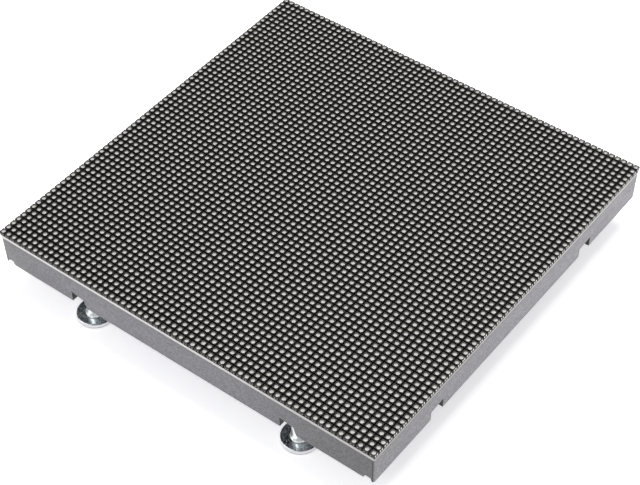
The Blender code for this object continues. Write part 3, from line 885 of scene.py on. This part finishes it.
# Painted contact shadow: the outer wall is painted dark below 0.3 to 0.5 mm, where it meets the floor
wall = p.mix(p.ramp(height, 0.30, 0.50), (0.24, 0.24, 0.25), (0.74, 0.74, 0.75))
top = p.mix(p.ramp(haze, 0.3, 0.7), (0.64, 0.73, 0.80), (0.82, 0.90, 0.94))
p.link(p.mix(flat, wall, top), "Base Color")
p.link(p.ramp(haze, 0.3, 0.7, 0.03, 0.10), "Roughness")
p.bump(p.ramp(pits, 0.57, 0.65), 0.04)
post_plate = Paint("foot_post_plate", (0.96, 0.96, 0.96), 0.24, 0.72)
p = post_plate
wipe = p.noise(0.8, 4, (1, 1, 0.15), 0.7)
p.link(p.mix(p.ramp(wipe, 0.3, 0.7), (0.94, 0.94, 0.93), (0.98, 0.98, 0.97)), "Base Color")
p.link(p.ramp(wipe, 0.3, 0.7, 0.18, 0.32), "Roughness")
p.bump(wipe, 0.003)
magnet_paint = metal("magnet_look", (0.50, 0.50, 0.51), 0.30, size=0.5, spread=0.08)
for number, at in enumerate(BOSSES, 1):
    s = Shape()
    outside = [(6.62, 0.0), (6.74, 0.04), (6.8, 0.16), (6.8, 0.62)]
    outside += [(6.35 + 0.45 * math.cos(a), 1.30 + 0.45 * math.sin(a)) for a in np.linspace(-0.2, math.pi / 2, 7)]
    s.lathe(
        outside + [(3.6, 1.75), (1.7, 1.75), (1.7, 1.1), (5.2, 1.1), (5.4, 1.0), (5.4, 0.05), (5.46, 0.0)],
        at,
        72,
    )
    shown(f"foot_cup_{number}_look", s.mesh(f"foot_cup_{number}_look"), [plate], 35, [f"foot_cup_{number}"])
    s = Shape()
    s.lathe([(2.4, 0.22), (2.5, 0.15), (5.0, 0.15), (5.1, 0.22), (5.1, 1.0), (2.4, 1.0)], at, 60)
    shown(f"foot_magnet_{number}_look", s.mesh(f"foot_magnet_{number}_look"), [magnet_paint], 35, [f"foot_magnet_{number}"])
    s = Shape()
    bell = [(0, 0.62), (0.9, 0.62), (1.1, 0.5), (1.6, 0.5), (1.6, 1.8), (3.5, 1.8)]
    bell += [(2.9 + 0.6 * (1 - math.sin(a)), 1.8 + 2.4 * (1 - math.cos(a))) for a in np.linspace(0.12, math.pi / 2, 7)]
    bell += [(2.9, 10.75), (2.8, 10.98), (2.6, 11.15), (1.45, 11.15)]
    z = 11.5
    while z < 15.4:
        bell += [(1.25, z), (1.45, z + 0.25)]
        z += 0.5
    bell += [(1.05, 16.2), (0, 16.2)]
    s.lathe(bell, at, 48, closed=False)
    shown(f"foot_post_{number}_look", s.mesh(f"foot_post_{number}_look"), [post_plate], 35, [f"foot_post_{number}"])

# --------------------------------------------------------- floor and light

floor_paint = Paint("floor_paint", (0.86, 0.86, 0.87), 0.85)
p = floor_paint
p.link(p.mix(p.ramp(p.noise(60.0, 3), 0.3, 0.7), (0.85, 0.85, 0.86), (0.88, 0.88, 0.88)), "Base Color")
p.set("Emission Color", (0.96, 0.96, 1.0, 1))
# The floor glows faintly blue as a lit backdrop, and the glow is painted out under the panel: a painted shadow that
# leaves the panel's underside in shade
x, y, _ = p.parts(p.place())
reach = p.maths("MAXIMUM", p.maths("ABSOLUTE", x), p.maths("ABSOLUTE", y))
p.link(p.ramp(reach, 52.0, 68.0, 0.0, 0.62), "Emission Strength")
s = Shape()
ring = [(4000 * math.cos(2 * math.pi * k / 48), 4000 * math.sin(2 * math.pi * k / 48)) for k in range(48)]
s.face([s.point(a, b, 0.0) for a, b in ring])
floor_mesh = s.mesh("floor")
floor_mesh.materials.append(floor_paint.made)
floor = bpy.data.objects.new("floor", floor_mesh)
floor.location = (0, 0, -0.00005)
bpy.context.scene.collection.objects.link(floor)

world = bpy.data.worlds.new("studio")
bpy.context.scene.world = world
world.use_nodes = True
back = world.node_tree.nodes["Background"]
back.inputs["Strength"].default_value = 1.0
sky = world.node_tree
turn = sky.nodes.new("ShaderNodeTexCoord")
split = sky.nodes.new("ShaderNodeSeparateXYZ")
sky.links.new(turn.outputs["Generated"], split.inputs[0])
fade = sky.nodes.new("ShaderNodeMapRange")
fade.interpolation_type = "SMOOTHSTEP"
for key, value in (("From Min", 0.04), ("From Max", 0.16), ("To Min", 0.96), ("To Max", 0.35)):
    fade.inputs[key].default_value = value
sky.links.new(split.outputs[2], fade.inputs["Value"])
sky.links.new(fade.outputs["Result"], back.inputs["Color"])


def softbox(name, at, towards, size, power, colour=(1, 1, 1)):
    light = bpy.data.lights.new(name, "AREA")
    light.shape = "RECTANGLE"
    light.size, light.size_y = size
    light.energy = power
    light.color = colour
    made = bpy.data.objects.new(name, light)
    made.location = at
    made.rotation_euler = (Vector(towards) - Vector(at)).to_track_quat("-Z", "Y").to_euler()
    bpy.context.scene.collection.objects.link(made)
    return made


softbox("key", (-0.10, 0.30, 0.92), (-0.40, 0.35, 0), (0.62, 0.62), 9.3, (1.0, 0.985, 0.955))
softbox("left", (-0.34, -0.38, 0.20), (-0.07, -0.07, 0.0), (0.22, 0.22), 0.25)
softbox("front", (-0.26, -0.60, 0.66), (0, 0, 0), (0.6, 0.5), 1.6)
softbox("right", (0.70, 0.38, 0.13), (0.06, 0.02, 0.01), (0.35, 0.2), 0.62)

camera_data = bpy.data.cameras.new("camera")
camera_data.lens = 99.2528
camera_data.sensor_width = 36
camera_data.sensor_fit = "HORIZONTAL"
camera_data.clip_start = 0.01
camera = bpy.data.objects.new("camera", camera_data)
right = (0.79485306, 0.60674348, -0.00842431)
up = (-0.43315807, 0.57706384, 0.69236653)
behind = (0.42495024, -0.5466806, 0.72149679)
place = (0.2670379, -0.3465130, 0.4594785)
camera.matrix_world = Matrix([(*row, place[i]) for i, row in enumerate(zip(right, up, behind))] + [(0, 0, 0, 1)])
bpy.context.scene.collection.objects.link(camera)
bpy.context.scene.camera = camera
bpy.context.scene.view_settings.view_transform = "Standard"
bpy.context.scene.view_settings.look = "None"
